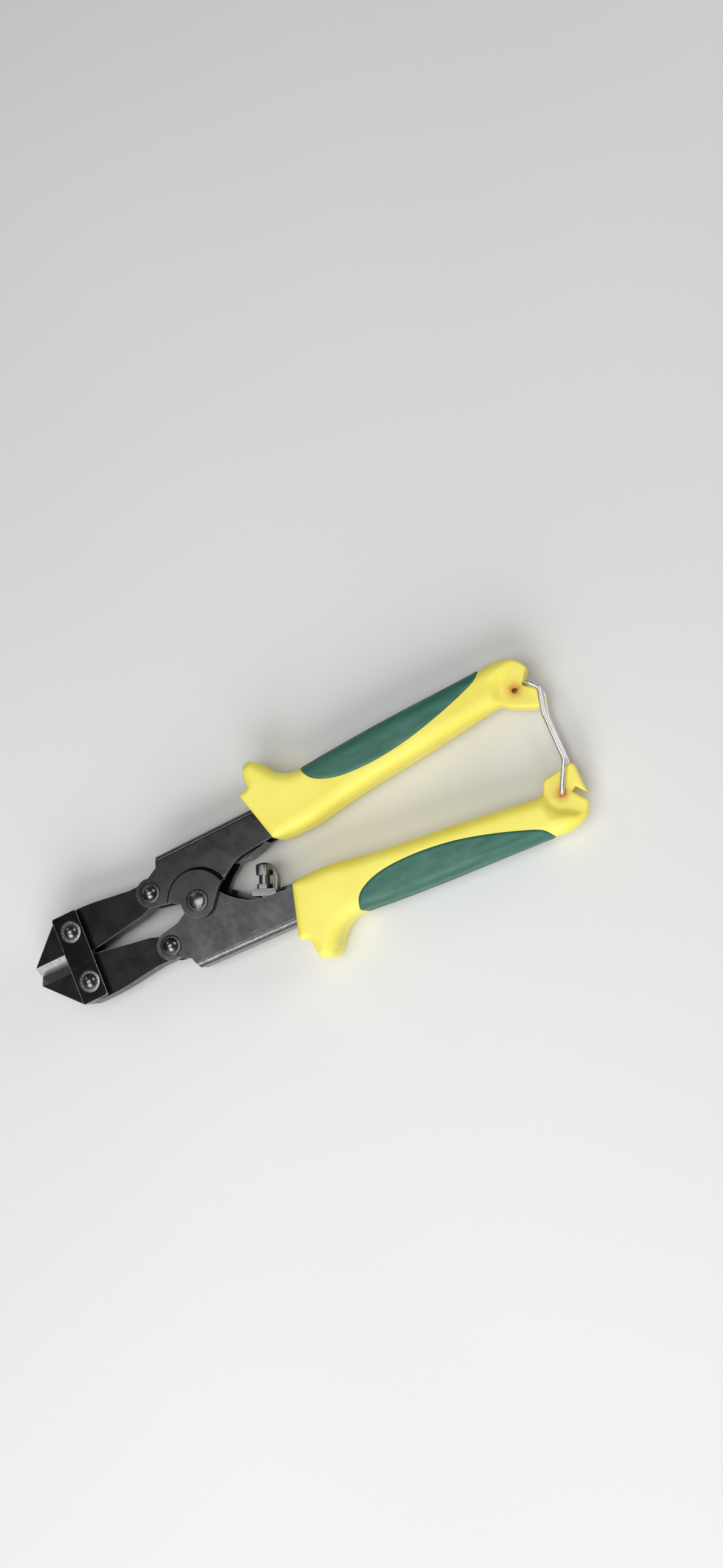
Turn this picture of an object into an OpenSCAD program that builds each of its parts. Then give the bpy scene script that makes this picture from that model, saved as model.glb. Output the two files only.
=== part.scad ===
// Small compound bolt cutter, closed and latched.
// The jaws turn on two rivets in a pair of head plates, their tails are linked to two
// stamped channel arms, and the arms share one centre rivet.
// While it is modelled, X runs from the jaw rivets to the handle ends, Y runs across
// the tool and Z through its thickness. place() then stands it on Z = 0 at its middle.

/* [Head] */
// Distance between the two jaw rivets
jaw_rivet_gap = 19.2; // [19:0.1:19.6]
// Length of the jaws ahead of their rivets
nose_len = 19; // [17:0.5:21]
// Thickness of the jaws
jaw_t = 7.6; // [7.2:0.1:7.7]
// Thickness of each head plate
plate_t = 3; // [2.5:0.1:3.1]
// Size of a head plate along the tool
plate_w = 10.1; // [9.6:0.1:10.6]
// Size of a head plate across the tool
plate_len = 33.1; // [32:0.1:34]
// Height of the ground band beside each cutting edge
bevel_w = 3.5; // [3:0.1:4]

/* [Arms] */
// Distance from the jaw rivets back to the link rivets
link_x = 32.8; // [32.4:0.1:33.2]
// Distance of a link rivet from the middle line
link_y = 10.2; // [10:0.1:10.4]
// Distance from the jaw rivets back to the centre rivet
centre_x = 48.7; // [48.4:0.1:49]
// Thickness of the sheet that the arms are stamped from
sheet_t = 2; // [1.8:0.1:2]
// Distance of the outer wall of an arm from the middle line
arm_edge_y = 21.6; // [21.2:0.1:22]

/* [Grips] */
// Thickness of a grip at its middle
grip_t = 19.2; // [18.6:0.1:19.2]
// Thickness of the thin end that carries the bail
knob_t = 8.4; // [8:0.1:9]
// Thickness of the soft inlay
inlay_t = 1.6; // [1.2:0.1:2]

/* [Bail] */
// Diameter of the bail wire
wire_d = 1.8; // [1.6:0.1:1.9]
// Distance between the two legs, middle to middle
bail_gap = 11.4; // [11.4:0.1:12]

/* [Hidden] */
$fn = 64;

// Levels through the thickness, counted from the middle plane
gap = 0.1;
plate_z = jaw_t / 2 + gap;
flange_z = jaw_t / 2 + gap;
lap_z = flange_z + sheet_t + 0.2;
half_t = grip_t / 2;
washer_t = 0.5;
run_fit = 0.05;
loose_fit = 0.15;

jaw_y = jaw_rivet_gap / 2;
plate_x = -0.4;
jaw_rivet_r = 2.4;
link_rivet_r = 2.1;
centre_rivet_r = 2.4;
handle_end_x = 188.3;
hinge_hole = [180.6, 19.6];
hinge_r = wire_d / 2;
catch_at = [185.3, 20.6];
relief_x = 175.4;
slot_a = 52;
slot_w = 2.1;
screw_a = -22;
screw_foot = [70.7, -5.8];
screw_r = 2;
tang_end_x = 150;
back_reach = 2.6;

// Straight outer edge of an arm, and the round bend along it
arm_front_x = 39.6;
edge_a = 0.9;
bend_r = 2.4;
bend_len = 52;
straight_end_x = 100;
straight_end_y = arm_edge_y + (straight_end_x - arm_front_x) * tan(edge_a);

// Puts the finished tool on the ground, with the middle of its box over the origin
module place() {
    translate([(nose_len - bail_end_x) / 2, 0, half_t]) children();
}

// Mirrored copy for the pieces of the lower half
module lower() {
    mirror([0, 1, 0]) children();
}

// Layer between two levels
module layer(z0, z1) {
    translate([0, 0, z0]) linear_extrude(z1 - z0) children();
}

// Round bar through the thickness at a point
module bar(at, r, z0, z1) {
    translate([at[0], at[1], z0]) cylinder(r = r, h = z1 - z0);
}

// Points of an arc, from one angle to another
function arc(at, r, a0, a1, n = 10) =
    [for (i = [0:n]) at + r * [cos(a0 + (a1 - a0) * i / n), sin(a0 + (a1 - a0) * i / n)]];

// Smooth open curve through chosen points, Catmull-Rom, n steps for each gap
function curve_at(a, b, c, d, t) =
    0.5 * ((2 * b) + (c - a) * t + (2 * a - 5 * b + 4 * c - d) * t * t
        + (3 * b - a - 3 * c + d) * t * t * t);
function curve(p, n = 4) =
    let (last = len(p) - 1)
    [for (i = [0:last - 1])
        for (k = [0:(i == last - 1 ? n : n - 1)])
            curve_at(p[max(i - 1, 0)], p[i], p[i + 1], p[min(i + 2, last)], k / n)];

// Low dome of radius r and height h, sitting on Z = 0
module dome(r, h) {
    ball = (r * r + h * h) / (2 * h);
    intersection() {
        translate([0, 0, h - ball]) sphere(r = ball, $fn = 96);
        cylinder(r = r + 1, h = h + 1);
    }
}

// Rivet through both faces, with a short collar and a domed head on each end
module rivet(at, r, head_r, face_z, top_z) {
    bar(at, r, -face_z, face_z);
    collar = 0.4;
    for (side = [0, 1]) translate([at[0], at[1], 0]) mirror([0, 0, side]) {
        translate([0, 0, face_z]) cylinder(r = head_r, h = collar);
        translate([0, 0, face_z + collar]) dome(head_r, top_z - face_z - collar);
    }
}

// Pair of flat washers under the two heads of a rivet
module washers(at, r, outer_r, face_z) {
    for (z = [face_z, -face_z - washer_t]) difference() {
        bar(at, outer_r, z, z + washer_t);
        bar(at, r, z - 1, z + washer_t + 1);
    }
}

// ---- Head ----

module plate_outline() {
    r = 1.1;
    translate([plate_x, 0]) {
        square([plate_w - 2 * r, plate_len], center = true);
        square([plate_w, plate_len - 2 * r], center = true);
        for (x = [-1, 1], y = [-1, 1])
            translate([x * (plate_w / 2 - r), y * (plate_len / 2 - r)]) circle(r);
    }
}

module head_plate(z0) {
    color("#3d4044") difference() {
        layer(z0, z0 + plate_t) plate_outline();
        for (y = [-jaw_y, jaw_y]) bar([0, y], jaw_rivet_r, z0 - 1, z0 + plate_t + 1);
    }
}

module head_plate_front() { head_plate(plate_z); }
module head_plate_back() { head_plate(-plate_z - plate_t); }

module jaw_rivet(y) {
    color("#6b6e72")
        rivet([0, y], jaw_rivet_r, 2.8, plate_z + plate_t + washer_t, half_t);
}
module jaw_rivet_upper() { jaw_rivet(jaw_y); }
module jaw_rivet_lower() { jaw_rivet(-jaw_y); }

module jaw_washers() {
    color("#a4a6a8") for (y = [-jaw_y, jaw_y])
        washers([0, y], jaw_rivet_r, 4, plate_z + plate_t);
}

// Jaw seen from the front: nose, head around its rivet, tail around the link rivet
module jaw_outline() {
    tail_r = 4.6;
    polygon(concat(
        [[-nose_len, 0], [-nose_len, 3.4]],
        arc([-5.6, 14.8], 1.4, 138, 96, 3),
        curve([[-3, 16.5], [3.5, 16.9], [10.8, 16.5], [17.8, 15.6], [25, 14.7]], 3),
        arc([link_x, link_y], tail_r, 90, -110),
        curve([[26, 4.1], [20.8, 3.3], [15.2, 2.4], [9, 1.25], [1.5, 0.2]], 2),
        [[-4, 0.2], [-5.5, 0]]
    ));
}

module jaw() {
    color("#54575b") difference() {
        layer(-jaw_t / 2, jaw_t / 2) jaw_outline();
        bar([0, jaw_y], jaw_rivet_r + run_fit, -jaw_t, jaw_t);
        bar([link_x, link_y], link_rivet_r + run_fit, -jaw_t, jaw_t);
        ground_bands();
    }
}

// The cutting edge is ground to a narrow land from both faces, ahead of the plates
module ground_bands() {
    land = 0.8;
    band_len = nose_len - plate_w / 2 + plate_x;
    for (side = [0, 1]) mirror([0, 0, side]) translate([-nose_len - 1, 0, 0])
        rotate([90, 0, 90]) linear_extrude(band_len + 1)
            polygon([[-1, land], [0, land], [bevel_w, jaw_t / 2], [bevel_w, jaw_t], [-1, jaw_t]]);
}

module jaw_upper() { jaw(); }
module jaw_lower() { lower() jaw(); }

// ---- Arms ----

// Inner edge of an arm behind the centre rivet, from the lobe to the tang. It reaches
// further towards the middle where that is asked for.
function inner_edge(reach) = curve([
    [52.7, -4.9], [59.2, 2.8 - reach], [63.6, 6.1 - reach], [68.1, 8.2 - reach],
    [80, 9.6 - reach]
]);

// Flange with the lobe around the centre rivet
module lobed_outline(reach = 0) {
    polygon(concat(
        [[arm_front_x, arm_edge_y], [38.2, 17.6], [34, 15.3]],
        arc([link_x, link_y], 5.3, 95, 268),
        [[38.3, 3.8]],
        arc([centre_x, 0], 6.3, 168, 308),
        inner_edge(reach),
        tang_inner(),
        tang_outer()
    ));
}

function tang_inner() = [[100, 12], [tang_end_x, 18.6]];
function tang_outer() = [[tang_end_x, 24.6], [straight_end_x, straight_end_y]];

// Flange that stays at the inner level right up to its lobe
module flat_flange() {
    layer(flange_z, flange_z + sheet_t) lobed_outline();
}

// Flange whose lobe is pressed outward by one sheet, with a sloped shoulder
module pressed_flange(reach) {
    foot_r = 12.4;
    top_r = 10.8;
    shoulder_h = lap_z + sheet_t - flange_z;
    difference() {
        layer(flange_z, flange_z + sheet_t) lobed_outline(reach);
        bar([centre_x, 0], foot_r - 1, 0, half_t);
    }
    intersection() {
        layer(flange_z, lap_z + sheet_t) lobed_outline(reach);
        difference() {
            translate([centre_x, 0, flange_z])
                cylinder(r1 = foot_r + 1, r2 = top_r, h = shoulder_h);
            translate([centre_x, 0, flange_z - sheet_t])
                cylinder(r1 = foot_r + 1, r2 = top_r, h = shoulder_h);
            bar([centre_x, 0], foot_r - 1.9, 0, lap_z);
        }
    }
}

// Outer wall of the channel
module arm_web() {
    layer(-flange_z - sheet_t, flange_z + sheet_t) polygon([
        [arm_front_x, arm_edge_y], [straight_end_x, straight_end_y], [tang_end_x, 24.6],
        [tang_end_x, 24.6 - sheet_t], [straight_end_x, straight_end_y - sheet_t],
        [arm_front_x - 0.4, arm_edge_y - sheet_t]
    ]);
}

// What the round bends between the outer wall and the two flanges leave off
module bend_waste() {
    translate([arm_front_x, arm_edge_y, 0]) rotate(edge_a)
        for (side = [0, 1]) mirror([0, 0, side])
            translate([-2, -bend_r, flange_z + sheet_t - bend_r]) difference() {
                cube([bend_len + 2, bend_r + 1, bend_r + 1]);
                rotate([0, 90, 0]) translate([0, 0, -1]) cylinder(r = bend_r, h = bend_len + 4);
            }
}

// Stamped channel. The lobes of each arm lap over one flange of the other arm, in front
// for the upper arm and behind for the lower one, which is turned over. The centre rivet
// is tight in one arm and runs in the other.
module arm(centre_hole_r, reach = 0) {
    difference() {
        union() {
            arm_web();
            pressed_flange(reach);
            mirror([0, 0, 1]) flat_flange();
        }
        bend_waste();
        bar([centre_x, 0], centre_hole_r, -half_t, half_t);
        bar([link_x, link_y], link_rivet_r, -half_t, half_t);
    }
}

// Tab folded in from the back flange of the upper arm, where the stop screw lands
module stop_tab() {
    face = [[64.8, 7.4], [70.3, 7], [74.8, 8.2], [78.4, 9.7]];
    back = [[78.4, 11.4], [74.4, 9.9], [70.3, 8.7], [64.8, 9.1]];
    layer(-flange_z - sheet_t, 2.4) polygon(concat(face, back));
}

module arm_upper() {
    color("#4a4c50") {
        arm(centre_rivet_r);
        stop_tab();
    }
}

module arm_lower() {
    color("#4a4c50") rotate([180, 0, 0]) arm(centre_rivet_r + loose_fit, back_reach);
}

module link_rivet(y) {
    color("#6b6e72")
        rivet([link_x, y], link_rivet_r, 2.7, flange_z + sheet_t + washer_t, half_t - 1.1);
}
module link_rivet_upper() { link_rivet(link_y); }
module link_rivet_lower() { link_rivet(-link_y); }

module link_washers(y) {
    color("#a4a6a8") washers([link_x, y], link_rivet_r, 3.8, flange_z + sheet_t);
}
module link_washers_upper() { link_washers(link_y); }
module link_washers_lower() { link_washers(-link_y); }

centre_face_z = lap_z + sheet_t + gap;
module centre_rivet() {
    color("#6b6e72")
        rivet([centre_x, 0], centre_rivet_r, 2.9, centre_face_z + washer_t, half_t);
}
module centre_washers() {
    color("#a4a6a8") washers([centre_x, 0], centre_rivet_r, 4, centre_face_z);
}

// Bush that keeps the flanges apart around the centre rivet
module centre_spacer() {
    color("#8a8c8f") difference() {
        bar([centre_x, 0], 4, -flange_z, flange_z - gap);
        bar([centre_x, 0], centre_rivet_r, -half_t, half_t);
    }
}

// ---- Stop screw, in the lower arm ----

// Local frame of the screw: its foot at the origin and its axis along Y
module at_screw() {
    translate([screw_foot[0], screw_foot[1], 0]) rotate(screw_a) rotate([-90, 0, 0])
        children();
}

bridge_t = 2;
nut_t = 1.8;
tab_t = 0.6;
head_at = 5.5;

module stop_bridge() {
    color("#4a4c50") difference() {
        at_screw() translate([-3.7, -flange_z, -bridge_t]) cube([9, 2 * flange_z, bridge_t]);
        at_screw() translate([0, 0, -2 * bridge_t]) cylinder(r = screw_r, h = 3 * bridge_t);
    }
}

module stop_tab_washer() {
    color("#9a9c9f") at_screw() {
        difference() {
            translate([-3.4, -2.8, 0]) cube([8, 5.6, tab_t]);
            translate([0, 0, -1]) cylinder(r = screw_r, h = 3);
        }
        translate([0, 2, 0]) rotate([90, 0, 0]) linear_extrude(4) polygon([
            [4.5, 0], [5.1, 0.1], [5.3, 4.9], [3.9, 7.5], [3.45, 7.2], [4.7, 4.7]
        ]);
    }
}

module stop_locknut() {
    color("#7c7f83") at_screw() translate([0, 0, tab_t]) difference() {
        cylinder(d = 5.9, h = nut_t, $fn = 6);
        translate([0, 0, -1]) cylinder(r = screw_r, h = nut_t + 2);
    }
}

module stop_screw() {
    head_h = 4.2;
    color("#7c7f83") at_screw() {
        translate([0, 0, -4.5]) cylinder(r = screw_r, h = head_at + 4.5);
        translate([0, 0, head_at]) intersection() {
            cylinder(d = 6.6, h = head_h + 1, $fn = 6);
            union() {
                cylinder(r = 3.1, h = head_h - 0.6);
                translate([0, 0, head_h - 0.6]) dome(3.1, 0.9);
            }
        }
    }
}

// ---- Grips ----

// Outline of the upper grip, from its front inner corner round by the inner edge
function grip_inner() = curve([
    [82.6, 8.9], [86, 8.0], [97, 8.1], [110, 10.3], [124, 12.1], [142, 14.0],
    [161, 16.2], [171, 17.3]
], 3);
function grip_knob() = concat(
    [[174.3, 17.3]],
    arc([178.2, 15.2], 2.6, 205, 252, 3),
    [[183, 11.9]],
    arc([handle_end_x - 1.4, 12.6], 1.4, 262, 380, 5),
    [[handle_end_x, 21.4]],
    arc([178.6, 22.4], 9.3, 14, 82, 8)
);
function grip_outer() = curve([
    [177, 32.1], [171.5, 31.5], [162, 30.9], [148, 30.1], [130, 29.3], [113, 28.2],
    [101, 27.3], [95.4, 28.3], [91.2, 31.2], [88.4, 35.2]
], 3);
function grip_finger() = concat(
    arc([84.6, 34.1], 3.5, 25, 165, 7),
    [[80.7, 29], [78.6, 28.3]],
    arc([78.6, 27.1], 1.2, 95, 170, 2)
);
function grip_points() = concat(grip_inner(), grip_knob(), grip_outer(), grip_finger());

module grip_outline(inset = 0) {
    offset(r = -inset) polygon(grip_points());
}

// Rounded body built up of layers: [half height, inset] for each of them
grip_layers = [[grip_t / 2, 3.4], [grip_t / 2 - 0.9, 1.8], [grip_t / 2 - 2.2, 0.7],
    [grip_t / 2 - 4, 0]];

module grip_blank(shrink = 0) {
    for (l = grip_layers)
        layer(shrink - l[0], l[0] - shrink) grip_outline(l[1] + shrink);
}

// Zone of the soft inlay, from its front tip round by its inner border
module inlay_zone() {
    polygon(concat(
        curve([
            [101, 27.6], [103.2, 22.8], [106.9, 20.1], [112.8, 18.2], [120.5, 17.5],
            [130, 17.8], [141, 19.3], [152.3, 22.1], [163, 25.6], [169.5, 28.4],
            [172.4, 31.8]
        ], 3),
        [[172, 45], [101, 45]]
    ));
}

// Spaces above and below the thin end
module knob_reliefs() {
    for (side = [0, 1]) mirror([0, 0, side])
        layer(knob_t / 2, half_t + 1) polygon(concat(
            [[relief_x - 1.5, 5]],
            arc(hinge_hole, hinge_hole[0] - relief_x, 180, 100, 8),
            [[186.2, 29.5], [192, 30], [192, 5]]
        ));
}

// Slot for the bail wire at the end of the lower grip
module wire_slot() {
    translate(catch_at) rotate(slot_a)
        translate([-slot_w / 2, -slot_w / 2]) square([8, slot_w]);
}

// Wider notch in the upper grip: the wire leaves it to the rear
module wire_notch() {
    polygon([
        catch_at + [-1.35, -0.1], catch_at + [-1.05, -0.85], catch_at + [3.8, -4.6],
        catch_at + [6, 8], catch_at + [1.95, 4.4]
    ]);
}

// Pocket for the arm, whose back flange may reach further in than the front one
module tang(reach) {
    layer(flange_z, flange_z + sheet_t) lobed_outline();
    layer(-flange_z - sheet_t, -flange_z) lobed_outline(reach);
    arm_web();
}

module grip(reach = 0) {
    difference() {
        union() {
            difference() {
                grip_blank();
                layer(-half_t - 1, half_t + 1) inlay_zone();
            }
            intersection() {
                grip_blank(inlay_t);
                layer(-half_t, half_t) inlay_zone();
            }
        }
        tang(reach);
        knob_reliefs();
        bar(hinge_hole, hinge_r + run_fit, -half_t, half_t);
    }
}

module grip_upper() {
    color("#fbe84a") difference() {
        grip();
        layer(-half_t, half_t) wire_notch();
    }
}

module grip_lower() {
    color("#fbe84a") lower() difference() {
        grip(back_reach);
        layer(-half_t, half_t) wire_slot();
    }
}

module inlay() {
    color("#2f7a63") difference() {
        intersection() {
            grip_blank();
            layer(-half_t, half_t) inlay_zone();
        }
        grip_blank(inlay_t);
        knob_reliefs();
    }
}

module inlay_upper() { inlay(); }
module inlay_lower() { lower() inlay(); }

// ---- Bail ----

// Corners of one leg, from the hinge in the lower grip to the cross bar
leg_corners = [
    [hinge_hole[0], -hinge_hole[1]], [186.1, -9.5], [186.3, 8], [188.6, 16.4], catch_at
];
ball_d = wire_d + 0.16;
bail_end_x = leg_corners[3][0] + ball_d / 2;

// Corners of the whole wire, from one inturned end round to the other
function leg(z) = [for (p = leg_corners) [p[0], p[1], z]];
function turned_back(p) = [for (i = [len(p) - 1:-1:0]) p[i]];
function wire_path() =
    let (z = bail_gap / 2, end_z = 0.8, at = leg_corners[0])
    concat([[at[0], at[1], end_z]], leg(z), turned_back(leg(-z)), [[at[0], at[1], -end_z]]);

// Straight run of wire between two points
module run(a, b) {
    d = b - a;
    translate(a) rotate([0, acos(d[2] / norm(d)), atan2(d[1], d[0])])
        cylinder(d = wire_d, h = norm(d), $fn = 32);
}

module bail() {
    p = wire_path();
    last = len(p) - 1;
    color("#b9bbbd") {
        for (i = [0:last - 1]) run(p[i], p[i + 1]);
        for (i = [1:last - 1]) translate(p[i]) sphere(d = ball_d, $fn = 32);
    }
}

place() head_plate_front();
place() head_plate_back();
place() jaw_rivet_upper();
place() jaw_rivet_lower();
place() jaw_washers();
place() jaw_upper();
place() jaw_lower();
place() arm_upper();
place() arm_lower();
place() link_rivet_upper();
place() link_rivet_lower();
place() link_washers_upper();
place() link_washers_lower();
place() centre_rivet();
place() centre_spacer();
place() centre_washers();
place() stop_bridge();
place() stop_screw();
place() stop_locknut();
place() stop_tab_washer();
place() grip_upper();
place() grip_lower();
place() inlay_upper();
place() inlay_lower();
place() bail();
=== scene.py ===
import math

import bmesh
import bpy
import numpy as np
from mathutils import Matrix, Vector
from mathutils.geometry import delaunay_2d_cdt
from mathutils.kdtree import KDTree


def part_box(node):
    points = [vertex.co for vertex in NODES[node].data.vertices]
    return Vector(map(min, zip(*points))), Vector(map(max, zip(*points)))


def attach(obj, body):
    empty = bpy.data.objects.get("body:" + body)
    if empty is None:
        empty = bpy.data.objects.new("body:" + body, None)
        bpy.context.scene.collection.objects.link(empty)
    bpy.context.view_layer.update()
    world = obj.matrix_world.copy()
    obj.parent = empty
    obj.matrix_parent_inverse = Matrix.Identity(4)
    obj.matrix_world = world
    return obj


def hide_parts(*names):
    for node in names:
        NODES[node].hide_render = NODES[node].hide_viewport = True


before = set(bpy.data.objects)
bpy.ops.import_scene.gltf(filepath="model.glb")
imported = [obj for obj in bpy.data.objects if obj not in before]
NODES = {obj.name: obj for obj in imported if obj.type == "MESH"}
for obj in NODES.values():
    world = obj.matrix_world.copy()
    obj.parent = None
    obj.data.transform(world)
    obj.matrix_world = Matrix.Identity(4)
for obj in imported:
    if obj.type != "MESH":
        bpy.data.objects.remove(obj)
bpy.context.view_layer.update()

# ---- Places ----
# The drawing of the tool is in millimetres: x back from the jaw rivets, y across towards
# the upper handle, z up from the middle plane. at() turns it into the frame's metres.
MM = 0.001
TINY = 1e-12        # keeps a length from being zero
low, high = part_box("jaw_rivet_upper")
RIVET_X = (low[0] + high[0]) / 2
MIDDLE_Z = (low[2] + high[2]) / 2


def at(x, y, z=0.0):
    """A place of the drawing, in the frame."""
    return Vector((RIVET_X + x * MM, y * MM, MIDDLE_Z + z * MM))


# ---- Curves in the drawing ----
def arc(middle, r, a0, a1, n=10):
    """Points of an arc between two angles, in degrees."""
    turn = [math.radians(a0 + (a1 - a0) * i / n) for i in range(n + 1)]
    return [(middle[0] + r * math.cos(a), middle[1] + r * math.sin(a)) for a in turn]


def curve(points, n=4):
    """Smooth open curve through chosen points, Catmull-Rom, n steps for each gap."""
    p = [np.array(q, float) for q in points]
    p = [p[0]] + p + [p[-1]]
    out = []
    for a, b, c, d in zip(p, p[1:], p[2:], p[3:]):
        for k in range(n):
            t = k / n
            out.append(0.5 * (2 * b + (c - a) * t + (2 * a - 5 * b + 4 * c - d) * t * t
                              + (3 * b - a - 3 * c + d) * t ** 3))
    return [tuple(q) for q in out] + [tuple(p[-1])]


def dense(points, step, closed=True):
    """The same outline with no gap wider than step."""
    p = [np.array(q, float) for q in points]
    ends = p[1:] + p[:1] if closed else p[1:]
    out = []
    for a, b in zip(p, ends):
        n = max(1, math.ceil(np.linalg.norm(b - a) / step))
        out += [a + (b - a) * k / n for k in range(n)]
    return np.array(out if closed else out + [p[-1]])


def smooth(low_end, high_end, v):
    """0 up to low_end and 1 from high_end, with a smooth rise between."""
    t = np.clip((v - low_end) / (high_end - low_end), 0, 1)
    return t * t * (3 - 2 * t)


def spread(points, line, closed=True):
    """Distance of each point from the nearest place on a line."""
    starts = line if closed else line[:-1]
    ends = np.roll(line, -1, axis=0) if closed else line[1:]
    best = np.full(len(points), np.inf)
    for a, d in zip(starts, ends - starts):
        t = np.clip(((points - a) @ d) / max(d @ d, TINY), 0, 1)
        best = np.minimum(best, np.linalg.norm(points - a - t[:, None] * d, axis=1))
    return best


def inside(points, loop):
    """Which points lie within a closed outline."""
    x, y = points[:, 0], points[:, 1]
    result = np.zeros(len(points), bool)
    for (x0, y0), (x1, y1) in zip(loop, np.roll(loop, -1, axis=0)):
        crosses = (y0 > y) != (y1 > y)
        with np.errstate(divide="ignore", invalid="ignore"):
            result ^= crosses & (x < (x1 - x0) * (y - y0) / (y1 - y0) + x0)
    return result


def offset_points(line, distance, closed=True):
    """Points at a distance to the left of a line."""
    before, after = np.roll(line, 1, axis=0), np.roll(line, -1, axis=0)
    if not closed:
        before[0], after[-1] = line[0], line[-1]
    d = after - before
    d /= np.linalg.norm(d, axis=1)[:, None] + TINY
    return line + distance * np.stack([-d[:, 1], d[:, 0]], axis=1)


# ---- The drawing of a grip: upper one, front inner corner first, round by the inner edge ----
HINGE_HOLE = (180.6, 19.6)
HOLE_R = 0.95
CATCH = np.array((185.3, 20.6))     # the bail's cross bar, when it is hooked
END_X = 188.3
RELIEF_R = 5.2                      # radius of the thin end's border round the hole

TAIL_CORNER = {
    "upper": [(174.4, 17.2), (175.6, 15.8), (177.4, 14.6), (181.6, 12.5)]
    + arc((END_X - 2.2, 13.1), 2.2, 250, 372, 10),
    "lower": [(174.3, 17.3)] + arc((178.2, 15.2), 2.6, 205, 252, 6)
    + [(183, 11.9)] + arc((END_X - 1.4, 12.6), 1.4, 262, 380, 10),
}
INNER_SIDE = curve([(82.6, 8.9), (86, 8), (97, 8.1), (110, 10.3), (124, 12.1), (142, 14),
                    (161, 16.2), (171, 17.3)], 8)
OUTER_SIDE = (
    [(END_X, 21.4)] + arc((178.6, 22.4), 9.3, 14, 82, 16)
    + curve([(177, 32.1), (171.5, 31.5), (162, 30.9), (148, 30.1), (130, 29.3), (113, 28.2),
             (101, 27.3), (95.4, 28.3), (91.2, 31.2), (88.4, 35.2)], 8)
    + arc((84.6, 34.1), 3.5, 25, 165, 14) + [(80.7, 29), (78.6, 28.3)]
    + arc((78.6, 27.1), 1.2, 95, 170, 5)
)
INLAY_EDGE = curve([(101, 27.6), (103.2, 22.8), (106.9, 20.1), (112.8, 18.2), (120.5, 17.5),
                    (130, 17.8), (141, 19.3), (152.3, 22.1), (163, 25.6), (169.5, 28.4),
                    (172.4, 31.8)], 8)
INLAY_ZONE = INLAY_EDGE + [(172, 45), (101, 45)]
RELIEF_EDGE = [(173.9, 5)] + arc(HINGE_HOLE, RELIEF_R, 180, 100, 16) + [(186.2, 29.5), (192, 30)]
RELIEF_ZONE = RELIEF_EDGE + [(192, 5)]
# The cross bar hooks behind an open notch in the upper grip. The lower grip has a straight
# slot in its place, which opens outwards at SLOT_A degrees.
SLOT_A = 52
SLOT_R = 1.05       # half the slot's width
SLOT_LEN = 8
ALONG = np.array((math.cos(math.radians(SLOT_A)), math.sin(math.radians(SLOT_A))))
ACROSS = np.array((-ALONG[1], ALONG[0]))
SLOT = [CATCH + u * ALONG + v * ACROSS for u, v in
        [(-SLOT_R, -SLOT_R), (SLOT_LEN, -SLOT_R), (SLOT_LEN, SLOT_R), (-SLOT_R, SLOT_R)]]
NOTCH = [CATCH + np.array(p) for p in
         [(-1.35, -0.1), (-1.05, -0.85), (3.8, -4.6), (6, 8), (1.95, 4.4)]]

# Thickness of a grip
HALF_T = 9.3        # half thickness of the yellow body
TAIL_THIN = 2.9     # how much thinner each side of it becomes over TAIL_X
TAIL_X = (140, 176)
KNOB_HALF_T = 4.2   # half thickness of the thin end
WALL_W = 3.4        # width of the step down to the thin end
SEAM_R = 0.14       # half width of the parting line
SEAM_DEPTH = 0.09

# Rounding of its edges: most along the hand, less on the finger stop, least at the front
FRONT_ROUND = 2.0
HAND_ROUND = 2.2    # added to the first behind HAND_X
HAND_X = (80, 92)
STOP_ROUND = 1.5    # added to the first on the finger stop
STOP_X = (92, 100)
STOP_Y = (26, 31)
KNOB_ROUND = 0.8
HOLE_ROUND = 0.3

# Inlay
INLAY_T = 0.7
PROUD = 0.25        # how far it stands above the yellow body
SUNK = 0.25         # how far its border lies below the yellow body
INLAY_ROUND = 0.9   # width of its rounded border
BED = 1.0           # depth of the bed that it lies in
BED_WALL = 0.25     # width of the bed's wall

# Orange painted shade: a full one in the sunk thin end that fades from the bail's hole, and a
# faint one that fades from the step down to the thin end, each over the radius given after its
# strength
HOLE_SHADE = 1.5
HOLE_SHADE_R = 1.3
STEP_SHADE = 0.16
STEP_SHADE_R = 1.2

# Mesh of a grip's face: its spacing, and how far from each edge the rings of points lie
# that carry the roundings
OUTLINE_STEP = 0.9
FINE_STEP = 0.6
FIELD_STEP = 2.6
SIDE_RINGS = (0.2, 0.5, 0.95, 1.5, 2.2, 3.0, 4.1, 5.4)
INLAY_RINGS = (-0.8, -0.3, 0.1, 0.3, 0.65, 1.1)
RELIEF_RINGS = (-0.5, -0.25, 0.25, 0.5, 0.8, 1.1, 1.4, 1.8)
HOLE_RINGS = (1.1, 1.35, 1.8, 2.4)
HOLE_STEP = 15      # degrees between the points of a ring round the hole
FIELD_X = (80, END_X)
FIELD_Y = (8, 38)
# Least gaps between points: SIDE_GAP for each millimetre of a side ring's distance up to
# SIDE_FULL, then those of the other rings and of the field
SIDE_GAP = 0.45
SIDE_FULL = 1.2
RING_GAP = 0.09
FIELD_GAP = 1.5
LOOK_BACK = 6       # points of its own ring that a new one is compared with
OWN_EDGE = 0.96     # a side ring's point nearer to an edge than this part of its distance goes
ON_EDGE = 1e-3      # a point nearer to an edge than this lies on it


def drop(d, r):
    """How far a rounded edge of radius r lies below the face, at distance d from the side."""
    left = r - np.clip(d, 0, r)
    return r - np.sqrt(np.maximum(r * r - left * left, 0))


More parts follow.
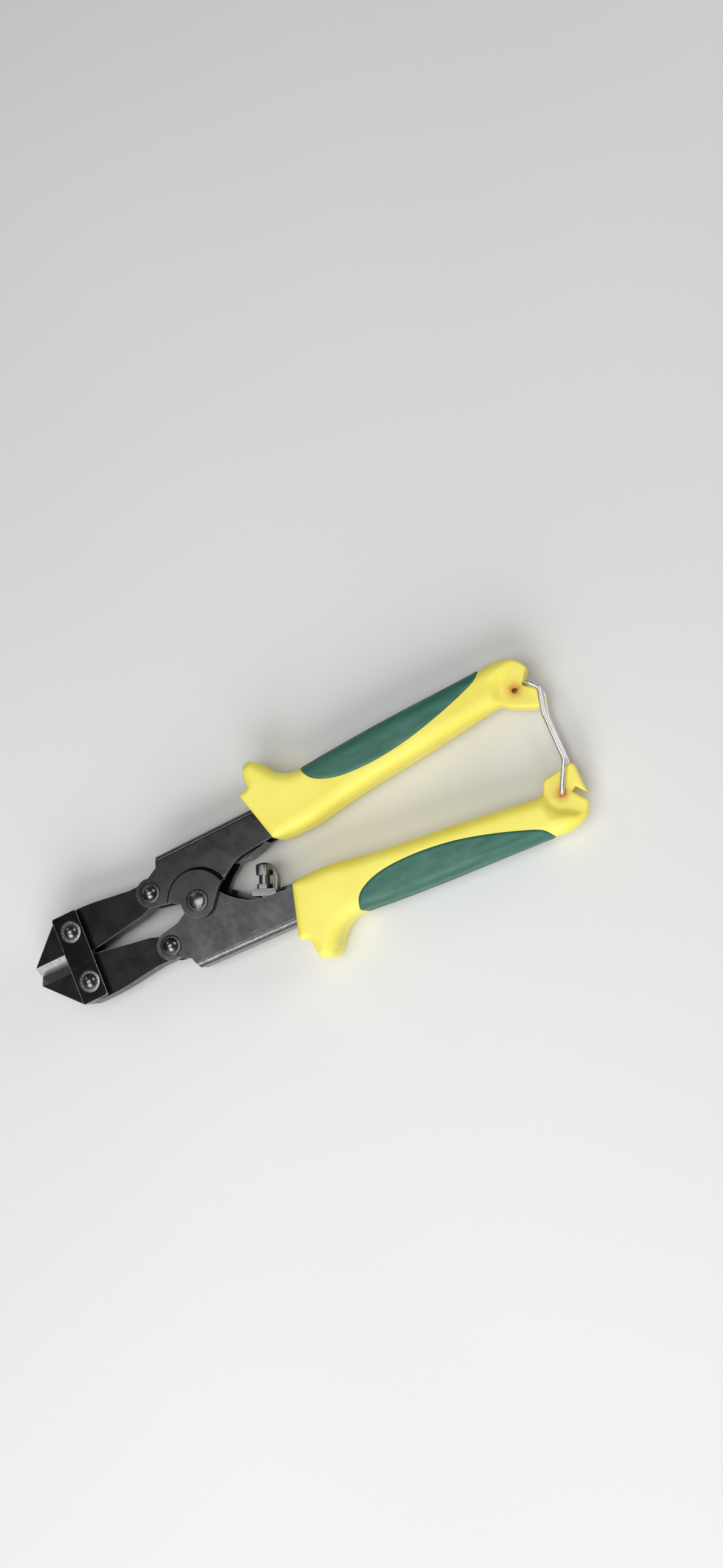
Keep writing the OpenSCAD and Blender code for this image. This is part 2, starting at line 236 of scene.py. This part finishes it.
def half_height(p, side_d, hole_d, relief_d):
    """Half thickness of a grip at points p, from their distances to its edges."""
    x, y = p[:, 0], p[:, 1]
    stop = smooth(*STOP_Y, y) * (1 - smooth(*STOP_X, x))
    r = FRONT_ROUND + HAND_ROUND * smooth(*HAND_X, x) * (1 - stop) + STOP_ROUND * stop
    full = HALF_T - TAIL_THIN * smooth(*TAIL_X, x) - drop(side_d, r)
    thin = KNOB_HALF_T - drop(side_d, KNOB_ROUND) - drop(hole_d, HOLE_ROUND)
    return thin + (full - thin) * smooth(0, WALL_W, relief_d)


def hole_ring(r):
    """Points round the bail's hole."""
    return np.array(arc(HINGE_HOLE, r, 0, 360 - HOLE_STEP, 360 // HOLE_STEP - 1))


def gathered(fixed, rings, kept):
    """The fixed points, and those of each ring that keep its least gap from all before."""
    points = [tuple(p) for p in fixed]
    for candidates, gap in rings:
        tree = KDTree(len(points))
        for i, p in enumerate(points):
            tree.insert((*p, 0), i)
        tree.balance()
        taken = []
        for p in candidates[kept(candidates)]:
            near_earlier = tree.find((*p, 0))[2] < gap
            if near_earlier or any(np.linalg.norm(q - p) < gap for q in taken[-LOOK_BACK:]):
                continue
            taken.append(p)
            points.append(tuple(p))
    return points


def grip_points(half, cut):
    """The points and triangles of a grip's face, and its distances to the edges."""
    loop = dense(INNER_SIDE + TAIL_CORNER[half] + OUTER_SIDE, OUTLINE_STEP)
    cut_loop = dense(cut, FINE_STEP)
    hole = hole_ring(HOLE_R)
    inlay_line = dense(INLAY_EDGE, OUTLINE_STEP, closed=False)
    relief_line = dense(RELIEF_EDGE, FINE_STEP, closed=False)

    def signed(p, line, zone):
        return np.where(inside(p, np.array(zone)), 1, -1) * spread(p, line, closed=False)

    def edge_d(p):
        return np.minimum(spread(p, loop), spread(p, cut_loop))

    def kept(p):
        return inside(p, loop) & ~inside(p, cut_loop) & ~inside(p, hole)

    fixed, edges = [], []
    for line, closed in ((loop, True), (cut_loop, True), (hole, True), (inlay_line, False),
                         (relief_line, False)):
        start, n = sum(len(f) for f in fixed), len(line)
        fixed.append(line)
        edges += [(start + i, start + (i + 1) % n) for i in range(n if closed else n - 1)]
    fixed = np.concatenate(fixed)

    # Each ring of points with its least gap
    rings = []
    for d in SIDE_RINGS:
        for line in (loop, cut_loop):
            for side in (d, -d):
                p = offset_points(line, side)
                rings.append((p[edge_d(p) > OWN_EDGE * d], SIDE_GAP * min(d, SIDE_FULL)))
    for line, offsets in ((inlay_line, INLAY_RINGS), (relief_line, RELIEF_RINGS)):
        for d in offsets:
            for side in (d, -d):
                rings.append((offset_points(line, side, closed=False), RING_GAP))
    for r in HOLE_RINGS:
        rings.append((hole_ring(r), RING_GAP))
    x, y = np.meshgrid(np.arange(*FIELD_X, FIELD_STEP), np.arange(*FIELD_Y, FIELD_STEP))
    rings.append((np.stack([x.ravel(), y.ravel()], axis=1), FIELD_GAP))

    points = [Vector(p) for p in gathered(fixed, rings, kept)]
    found = delaunay_2d_cdt(points, edges, [], 0, 1e-5)
    flat = np.array([tuple(v) for v in found[0]])
    tris = np.array(found[2])
    tris = tris[kept(flat[tris].mean(axis=1))]
    used = np.unique(tris)
    renumber = np.full(len(flat), -1)
    renumber[used] = np.arange(len(used))
    flat, tris = flat[used], renumber[tris]
    side_d = edge_d(flat)
    hole_d = spread(flat, hole)
    relief_d = -signed(flat, relief_line, RELIEF_ZONE)
    inlay_d = signed(flat, inlay_line, INLAY_ZONE)
    inlay_d[np.abs(inlay_d) < 1e-4] = 0
    return flat, tris, side_d, hole_d, relief_d, inlay_d


def grip_body(half, cut, mirrored):
    """Closed body of a grip; each vertex keeps its distance to the inlay's border."""
    flat, tris, side_d, hole_d, relief_d, inlay_d = grip_points(half, cut)
    level = half_height(flat, side_d, hole_d, relief_d)
    # painted shade: orange round the hole in the sunk thin end and along the step down to it
    painted_shade = np.maximum(np.minimum(HOLE_SHADE * np.exp(-hole_d / HOLE_SHADE_R), 1) * (relief_d < 0),
                        STEP_SHADE * np.exp(-np.abs(relief_d) / STEP_SHADE_R))
    sign = -1 if mirrored else 1
    bm = bmesh.new()
    inlay_at = bm.verts.layers.float.new("inlay_d")
    painted_shade_at = bm.verts.layers.float.new("painted_shade")

    def vertex(i, z, push=(0, 0)):
        v = bm.verts.new(at(flat[i, 0] + push[0], sign * (flat[i, 1] + push[1]), z))
        v[inlay_at] = inlay_d[i]
        v[painted_shade_at] = painted_shade[i]
        return v

    top = [vertex(i, level[i]) for i in range(len(flat))]
    bottom = [vertex(i, -level[i]) for i in range(len(flat))]
    once = {}
    for t in tris:
        bm.faces.new([top[i] for i in t])
        bm.faces.new([bottom[i] for i in reversed(t)])
        for a, b in zip(t, np.roll(t, -1)):
            key = (min(a, b), max(a, b))
            once[key] = None if key in once else (a, b)
    rim = [e for e in once.values() if e is not None]
    out = {}
    for a, b in rim:
        d = flat[b] - flat[a]
        n = np.array((d[1], -d[0])) / np.linalg.norm(d)
        for i in (a, b):
            out[i] = out.get(i, 0) + n
    # Each side has a fine parting line half way up, and the hole has none
    columns = {}
    for i, n in out.items():
        n = n / max(np.linalg.norm(n), TINY)
        h = level[i]
        rows = [(0.66 * h, 0), (0.33 * h, 0), (SEAM_R, 0), (0, -SEAM_DEPTH), (-SEAM_R, 0),
                (-0.33 * h, 0), (-0.66 * h, 0)] if hole_d[i] > ON_EDGE else []
        columns[i] = [top[i]] + [vertex(i, z, n * push) for z, push in rows] + [bottom[i]]
    for a, b in rim:
        for k in range(len(columns[a]) - 1):
            bm.faces.new((columns[b][k], columns[a][k], columns[a][k + 1], columns[b][k + 1]))
    bmesh.ops.recalc_face_normals(bm, faces=bm.faces)
    bm.normal_update()
    return bm


def object_from(bm, name, material):
    """A smooth shaded object from a mesh in the making."""
    mesh = bpy.data.meshes.new(name)
    bm.to_mesh(mesh)
    bm.free()
    mesh.materials.append(material)
    for p in mesh.polygons:
        p.use_smooth = True
    piece = bpy.data.objects.new(name, mesh)
    bpy.context.scene.collection.objects.link(piece)
    return piece


def make_grip(half, cut, mirrored):
    """The yellow body and the green inlay of one grip."""
    bm = grip_body(half, cut, mirrored)
    inlay_at = bm.verts.layers.float["inlay_d"]
    inlay = bm.copy()
    for v in bm.verts:
        v.co -= v.normal * MM * BED * float(smooth(0, BED_WALL, v[inlay_at]))
    body = object_from(bm, f"grip_{half}_body", yellow)

    inlay_at = inlay.verts.layers.float["inlay_d"]
    away = [f for f in inlay.faces if max(v[inlay_at] for v in f.verts) <= 0
            or min(v[inlay_at] for v in f.verts) < 0]
    for v in inlay.verts:
        rise = float(np.sqrt(smooth(-0.05, INLAY_ROUND, v[inlay_at])))
        v.co += v.normal * MM * (rise * (PROUD + SUNK) - SUNK)
    bmesh.ops.delete(inlay, geom=away, context="FACES")
    strip = object_from(inlay, f"grip_{half}_inlay", green)
    solid = strip.modifiers.new("thickness", "SOLIDIFY")
    solid.thickness = INLAY_T * MM
    solid.offset = -1

    for piece, node, slot in ((body, f"grip_{half}", "grip"), (strip, f"inlay_{half}", "inlay")):
        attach(piece, f"{half}_handle")
        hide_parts(node)


# ---- Bail ----
WIRE_R = 0.9
WIRE_SIDES = 20
BAIL_Z = 5.7        # level of a leg's middle line
BAIL_END_Z = 0.9    # level at which the wire ends, inside the lower grip
BAIL_LEG = [(HINGE_HOLE[0], -HINGE_HOLE[1]), (186.1, -9.5), (186.3, 8), (188.6, 16.4), CATCH]
BEND_R = (1.9, 5, 9, 2.2, 2.0)
BEND_STEPS = 8
MOST = 0.48         # a bend takes up no more than this part of a straight


def rounded(points, radii):
    """A line of points with each inner corner turned into an arc-like bend."""
    out = [points[0]]
    for a, b, c, r in zip(points, points[1:], points[2:], radii):
        u, w = (a - b).normalized(), (c - b).normalized()
        reach = r / math.tan(u.angle(w) / 2)
        reach = min(reach, MOST * (a - b).length, MOST * (c - b).length)
        start, end = b + u * reach, b + w * reach
        for k in range(BEND_STEPS + 1):
            t = k / BEND_STEPS
            out.append(start * (1 - t) ** 2 + b * 2 * t * (1 - t) + end * t * t)
    return out + [points[-1]]


def make_bail():
    """One bent wire: two legs in the lower grip's hole, joined by the cross bar."""
    leg = [Vector((x, y, BAIL_Z)) for x, y in BAIL_LEG]
    half = [Vector((leg[0].x, leg[0].y, BAIL_END_Z))] + leg
    corners = half + [Vector((p.x, p.y, -p.z)) for p in reversed(half)]
    radii = list(BEND_R) + list(reversed(BEND_R))
    line = rounded(corners, radii)
    bm = bmesh.new()
    side = Vector((0, 1, 0))
    rings = []
    for i, p in enumerate(line):
        along = (line[min(i + 1, len(line) - 1)] - line[max(i - 1, 0)]).normalized()
        side = (side - along * side.dot(along)).normalized()
        third = along.cross(side)
        turns = [2 * math.pi * k / WIRE_SIDES for k in range(WIRE_SIDES)]
        rings.append([bm.verts.new(at(*(p + WIRE_R * (side * math.cos(t) + third * math.sin(t)))))
                      for t in turns])
    for a, b in zip(rings, rings[1:]):
        for k in range(WIRE_SIDES):
            after = (k + 1) % WIRE_SIDES
            bm.faces.new((a[k], a[after], b[after], b[k]))
    bm.faces.new(rings[0])
    bm.faces.new(rings[-1])
    bmesh.ops.recalc_face_normals(bm, faces=bm.faces)
    piece = object_from(bm, "bail_wire", wire)
    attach(piece, "bail")
    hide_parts("bail")


# ---- Materials ----
MIX_A, MIX_B, MIX_RESULT = 6, 7, 2      # the Mix node's colour sockets


class Paint:
    """A new material and short ways to add nodes to it."""

    def __init__(self, name, metallic, roughness):
        self.mat = bpy.data.materials.new(name)
        self.mat.use_nodes = True
        self.tree = self.mat.node_tree
        self.shader = self.tree.nodes["Principled BSDF"]
        self.shader.inputs["Metallic"].default_value = metallic
        self.shader.inputs["Roughness"].default_value = roughness
        self.place = self.tree.nodes.new("ShaderNodeTexCoord").outputs["Object"]

    def node(self, kind, **values):
        n = self.tree.nodes.new("ShaderNode" + kind)
        for key, value in values.items():
            setattr(n, key, value)
        return n

    def link(self, a, b):
        self.tree.links.new(a, b)

    def noise(self, scale, detail, stretch=(1, 1, 1), turn=0.0):
        """Noise with scale in features for each metre."""
        mapping = self.node("Mapping")
        mapping.inputs["Scale"].default_value = stretch
        mapping.inputs["Rotation"].default_value = (0, 0, turn)
        self.link(self.place, mapping.inputs["Vector"])
        n = self.node("TexNoise")
        n.inputs["Scale"].default_value = scale
        n.inputs["Detail"].default_value = detail
        self.link(mapping.outputs["Vector"], n.inputs["Vector"])
        return n.outputs["Fac"]

    def between(self, value, a, b, v0=0.35, v1=0.65):
        """Value mapped from v0..v1 to a..b."""
        m = self.node("MapRange")
        for key, v in zip(("From Min", "From Max", "To Min", "To Max"), (v0, v1, a, b)):
            m.inputs[key].default_value = v
        self.link(value, m.inputs["Value"])
        return m.outputs["Result"]

    def blend(self, fac, a, b):
        """Colour a where fac is 0 and b where it is 1; either may be a socket."""
        m = self.node("Mix", data_type="RGBA")
        self.link(fac, m.inputs["Factor"])
        for socket, v in ((m.inputs[MIX_A], a), (m.inputs[MIX_B], b)):
            if isinstance(v, tuple):
                socket.default_value = (*v, 1)
            else:
                self.link(v, socket)
        return m.outputs[MIX_RESULT]

    def math(self, operation, a, b=0.0):
        m = self.node("Math", operation=operation)
        for socket, v in zip(m.inputs, (a, b)):
            if isinstance(v, (int, float)):
                socket.default_value = v
            else:
                self.link(v, socket)
        return m.outputs[0]

    def bump(self, height, distance, strength):
        b = self.node("Bump")
        b.inputs["Distance"].default_value = distance * MM
        b.inputs["Strength"].default_value = strength
        self.link(height, b.inputs["Height"])
        self.link(b.outputs["Normal"], self.shader.inputs["Normal"])

    def edges(self, radius):
        """1 at edges and corners and 0 on the faces, by how far a bevel turns the normal."""
        bevel = self.node("Bevel", samples=6)
        bevel.inputs["Radius"].default_value = radius * MM
        dot = self.node("VectorMath", operation="DOT_PRODUCT")
        self.link(bevel.outputs["Normal"], dot.inputs[0])
        self.link(self.node("NewGeometry").outputs["Normal"], dot.inputs[1])
        turned = self.math("SUBTRACT", 1.0, dot.outputs["Value"])
        return self.between(turned, 0, 1, 0.02, 0.2)

    def colour(self, socket):
        self.link(socket, self.shader.inputs["Base Color"])

    def rough(self, socket):
        self.link(socket, self.shader.inputs["Roughness"])


def yellow_plastic():
    """Moulded plastic with a fine grain, with orange painted shade round the bail's holes and
    along the step to the thin end.
    """
    p = Paint("yellow_plastic", 0.0, 0.42)
    base = p.blend(p.between(p.noise(60, 4), 0, 1), (0.88, 0.765, 0.105), (0.93, 0.84, 0.15))
    # orange painted shade round the bail's hole and along the step to the thin end
    shade_mix = p.node("Attribute", attribute_name="painted_shade").outputs["Fac"]
    shade_mix = p.math("MULTIPLY", shade_mix, p.between(p.noise(500, 3), 0.7, 1.0))
    p.colour(p.blend(shade_mix, base, (0.62, 0.21, 0.02)))
    p.rough(p.between(p.noise(250, 5), 0.38, 0.5))
    p.bump(p.noise(3200, 2), 0.03, 0.5)
    return p.mat


def green_rubber():
    """Soft matt rubber with faint streaks along the tool."""
    p = Paint("green_rubber", 0.0, 0.5)
    streak = p.noise(90, 4, stretch=(1, 5, 5))
    p.colour(p.blend(p.between(streak, 0, 1), (0.021, 0.112, 0.078), (0.033, 0.15, 0.105)))
    p.rough(p.between(p.noise(300, 4), 0.42, 0.58))
    p.bump(p.noise(2600, 3), 0.04, 0.5)
    return p.mat


# The outer edge of an arm starts at BEND_X, BEND_Y and leaves the middle line at BEND_A
# degrees. The wear and painted highlight on its bends rise to their full strength, set last, over
# BEND_LEVEL, up from the middle plane, and over STRIP, in from the edge.
BEND_X = 39.6
BEND_Y = 21.6
BEND_A = 0.9
BEND_LEVEL = (3.5, 4.4)
STRIP = (2.4, 1.5)
BEND_WEAR_AND_HIGHLIGHT = 0.6


def bend_wear_and_highlight(p):
    """Wear and painted highlight on the rounded bends of an arm, at full strength there and 0
    elsewhere.
    """
    local = p.node("VectorMath", operation="SUBTRACT")
    p.link(p.place, local.inputs[0])
    local.inputs[1].default_value = at(BEND_X, 0)
    axes = p.node("SeparateXYZ")
    p.link(local.outputs["Vector"], axes.inputs[0])
    level = p.math("ABSOLUTE", axes.outputs["Z"])
    lean = p.math("MULTIPLY", axes.outputs["X"], -math.tan(math.radians(BEND_A)))
    out = p.math("ADD", p.math("ABSOLUTE", axes.outputs["Y"]), lean)
    strip = p.between(out, 0, BEND_WEAR_AND_HIGHLIGHT, *((BEND_Y - d) * MM for d in STRIP))
    return p.math("MULTIPLY", strip, p.between(level, 0, 1, *(h * MM for h in BEND_LEVEL)))


def black_steel(name, dark, light, wear_and_highlight, edge, arm=False):
    """Black oxide on sheet steel: cloudy and finely scratched, with wear and a painted highlight
    lightening the edges and, on the arms, the bends.
    """
    p = Paint(name, 0.85, 0.36)
    cloud = p.between(p.noise(110, 6), 0, 1)
    base = p.blend(cloud, (dark, dark, dark * 1.04), (light, light, light * 1.05))
    scratch = p.between(p.noise(2600, 2, stretch=(0.05, 1, 1), turn=0.3), 0, 1, 0.7, 0.78)
    base = p.blend(p.math("MULTIPLY", scratch, 0.2), base, (wear_and_highlight, wear_and_highlight, wear_and_highlight))
    # painted highlight, with wear, along the edges and, on an arm, its bends
    wear_and_highlight_mask = p.edges(edge)
    if arm:
        wear_and_highlight_mask = p.math("MAXIMUM", wear_and_highlight_mask, bend_wear_and_highlight(p))
    p.colour(p.blend(p.math("MULTIPLY", wear_and_highlight_mask, p.between(p.noise(700, 3), 0.4, 1.0)),
                     base, (wear_and_highlight, wear_and_highlight, wear_and_highlight)))
    p.rough(p.between(p.noise(420, 5), 0.18, 0.27))
    p.bump(p.noise(1800, 3), 0.008, 0.5)
    return p.mat


BAND_END = 5.5      # the ground band stops this far ahead of the jaw rivets
BAND_W = 3.52       # and reaches this far from the cutting edge


def jaw_steel():
    """Black forging with a bright ground band beside the cutting edge, and a painted highlight
    with wear along its edges.
    """
    p = Paint("jaw_steel", 0.9, 0.34)
    axes = p.node("SeparateXYZ")
    p.link(p.place, axes.inputs[0])
    ahead = p.math("LESS_THAN", axes.outputs["X"], RIVET_X - BAND_END * MM)
    near = p.math("LESS_THAN", p.math("ABSOLUTE", axes.outputs["Y"]), BAND_W * MM)
    ground = p.math("MULTIPLY", ahead, near)
    dark = p.blend(p.between(p.noise(140, 6), 0, 1), (0.010, 0.010, 0.0105), (0.019, 0.019, 0.02))
    # painted highlight, with wear, along the jaws' edges
    dark = p.blend(p.edges(0.5), dark, (0.3, 0.3, 0.3))
    lines = p.noise(2500, 2, stretch=(1, 0.04, 0.04))
    bright = p.blend(p.between(lines, 0, 1), (0.15, 0.15, 0.154), (0.19, 0.19, 0.195))
    p.colour(p.blend(ground, dark, bright))
    p.rough(p.between(p.noise(900, 4), 0.26, 0.36))
    p.bump(p.noise(1500, 2), 0.002, 0.3)
    return p.mat


def plated(name, tone, roughness):
    """Plated or bare bright steel with fine handling marks."""
    p = Paint(name, 1.0, roughness)
    dull = tuple(0.85 * c for c in tone)
    p.colour(p.blend(p.between(p.noise(600, 5), 0, 1), dull, tone))
    p.rough(p.between(p.noise(1200, 4), roughness - 0.04, roughness + 0.06))
    p.bump(p.noise(2400, 3), 0.004, 0.5)
    return p.mat


def drawn_wire():
    """Bright plated wire with faint drawing lines along it."""
    p = Paint("drawn_wire", 1.0, 0.4)
    lines = p.noise(1800, 3, stretch=(1, 0.08, 1))
    p.colour(p.blend(p.between(lines, 0, 1), (0.66, 0.64, 0.64), (0.84, 0.82, 0.82)))
    p.rough(p.between(lines, 0.36, 0.5))
    p.bump(lines, 0.01, 0.4)
    return p.mat


def stone_floor():
    """Matt floor, almost white."""
    p = Paint("floor", 0.0, 0.7)
    p.colour(p.blend(p.between(p.noise(3, 2), 0, 1), (0.74, 0.74, 0.73), (0.78, 0.78, 0.77)))
    return p.mat


# ---- Steel parts: the CAD nodes, with finely broken edges ----
MERGE_GAP = 0.002
SHARP = math.radians(32)    # edges with a smaller angle stay as they are


def soften_group():
    """Joins the faces of a node and shades them smooth, ahead of the bevel."""
    group = bpy.data.node_groups.new("soften", "GeometryNodeTree")
    for in_out in ("INPUT", "OUTPUT"):
        group.interface.new_socket("Geometry", in_out=in_out, socket_type="NodeSocketGeometry")
    start, end = group.nodes.new("NodeGroupInput"), group.nodes.new("NodeGroupOutput")
    merge = group.nodes.new("GeometryNodeMergeByDistance")
    merge.inputs["Distance"].default_value = MERGE_GAP * MM
    shade = group.nodes.new("GeometryNodeSetShadeSmooth")
    for a, b in ((start, merge), (merge, shade), (shade, end)):
        group.links.new(a.outputs[0], b.inputs[0])
    return group


def finish_node(node, material, edge):
    """Gives a CAD node its material and edges rounded over a width of edge."""
    piece = NODES[node]
    while len(piece.material_slots) > 1:
        piece.data.materials.pop()
    piece.material_slots[0].material = material
    piece.modifiers.new("soften", "NODES").node_group = soften
    bevel = piece.modifiers.new("edges", "BEVEL")
    bevel.width = edge * MM
    bevel.segments = 2
    bevel.limit_method = "ANGLE"
    bevel.angle_limit = SHARP
    bevel.use_clamp_overlap = True
    piece.modifiers.new("normals", "WEIGHTED_NORMAL")


# ---- Camera, light and floor ----
LENS = 34.94
CAMERA_PLACE = (0.1257, -0.0903, 0.5264)
CAMERA_TURN = (6.19, 13.83, -23.84)
FLOOR_SIZE = 8
SKY = (0.92, 0.95, 1, 1)
SKY_STRENGTH = 0.1
# Name, place, size, power and target of each light
LIGHTS = (
    ("softbox", (-0.09, -0.085, 0.95), (0.74, 0.5), 4.5, (-0.09, -0.085, 0)),
    ("near_side", (-0.3, -0.95, 0.64), (0.9, 0.9), 11.5, (-0.03, 0, 0)),
    ("tail_side", (1.0, 0.12, 0.36), (0.5, 0.4), 2.4, (0, 0, 0)),
    ("window", (-0.5, 1.0, 0.9), (0.5, 0.5), 1.2, (0, 0, 0)),
)


def aimed(thing, place, target):
    """Puts an object at a place, facing a target."""
    thing.location = place
    thing.rotation_euler = (Vector(target) - Vector(place)).to_track_quat("-Z", "Y").to_euler()
    bpy.context.scene.collection.objects.link(thing)


def add_light(name, place, size, energy, target):
    """A soft rectangular light."""
    data = bpy.data.lights.new(name, "AREA")
    data.shape = "RECTANGLE"
    data.size, data.size_y = size
    data.energy = energy
    aimed(bpy.data.objects.new(name, data), place, target)


def add_camera():
    """The camera, where the photo was taken from."""
    data = bpy.data.cameras.new("camera")
    data.lens = LENS
    data.clip_start = 0.01
    cam = bpy.data.objects.new("camera", data)
    cam.location = CAMERA_PLACE
    cam.rotation_euler = [math.radians(a) for a in CAMERA_TURN]
    bpy.context.scene.collection.objects.link(cam)
    bpy.context.scene.camera = cam


def add_stage():
    """The floor, the sky and the lights."""
    bpy.ops.mesh.primitive_plane_add(size=FLOOR_SIZE, location=(0, 0, 0))
    floor = bpy.context.object
    floor.name = "floor"
    floor.data.materials.append(stone_floor())
    world = bpy.data.worlds.new("world")
    world.use_nodes = True
    background = world.node_tree.nodes["Background"]
    background.inputs["Color"].default_value = SKY
    background.inputs["Strength"].default_value = SKY_STRENGTH
    bpy.context.scene.world = world
    bpy.context.scene.view_settings.view_transform = "Standard"
    for light in LIGHTS:
        add_light(*light)


add_camera()
add_stage()
yellow, green, wire = yellow_plastic(), green_rubber(), drawn_wire()
soften = soften_group()
make_grip("upper", NOTCH, False)
make_grip("lower", SLOT, True)
make_bail()

# the fourth number is the colour of the scratches and of the wear and painted highlight on edges
# and, on the arms, bends
arm_steel = black_steel("arm_steel", 0.03, 0.048, 0.2, 0.35, arm=True)
plate_steel = black_steel("plate_steel", 0.004, 0.008, 0.4, 0.6)
jaw = jaw_steel()
rivet_steel = plated("rivet_steel", (0.16, 0.16, 0.165), 0.24)
dark_washer = plated("dark_washer", (0.07, 0.07, 0.072), 0.3)
grey_washer = plated("grey_washer", (0.2, 0.2, 0.205), 0.32)
zinc = plated("zinc", (0.2, 0.2, 0.195), 0.34)
for nodes, material, edge in (
    (("arm_upper", "arm_lower"), arm_steel, 0.42),
    (("head_plate_front", "head_plate_back"), plate_steel, 0.55),
    (("jaw_upper", "jaw_lower"), jaw, 0.42),
    (("jaw_rivet_upper", "jaw_rivet_lower", "link_rivet_upper", "link_rivet_lower",
      "centre_rivet"), rivet_steel, 0.12),
    (("jaw_washers",), grey_washer, 0.1),
    (("link_washers_upper", "link_washers_lower", "centre_washers"), dark_washer, 0.1),
    (("centre_spacer", "stop_screw", "stop_locknut", "stop_tab_washer", "stop_bridge"),
     zinc, 0.12),
):
    for node in nodes:
        finish_node(node, material, edge)
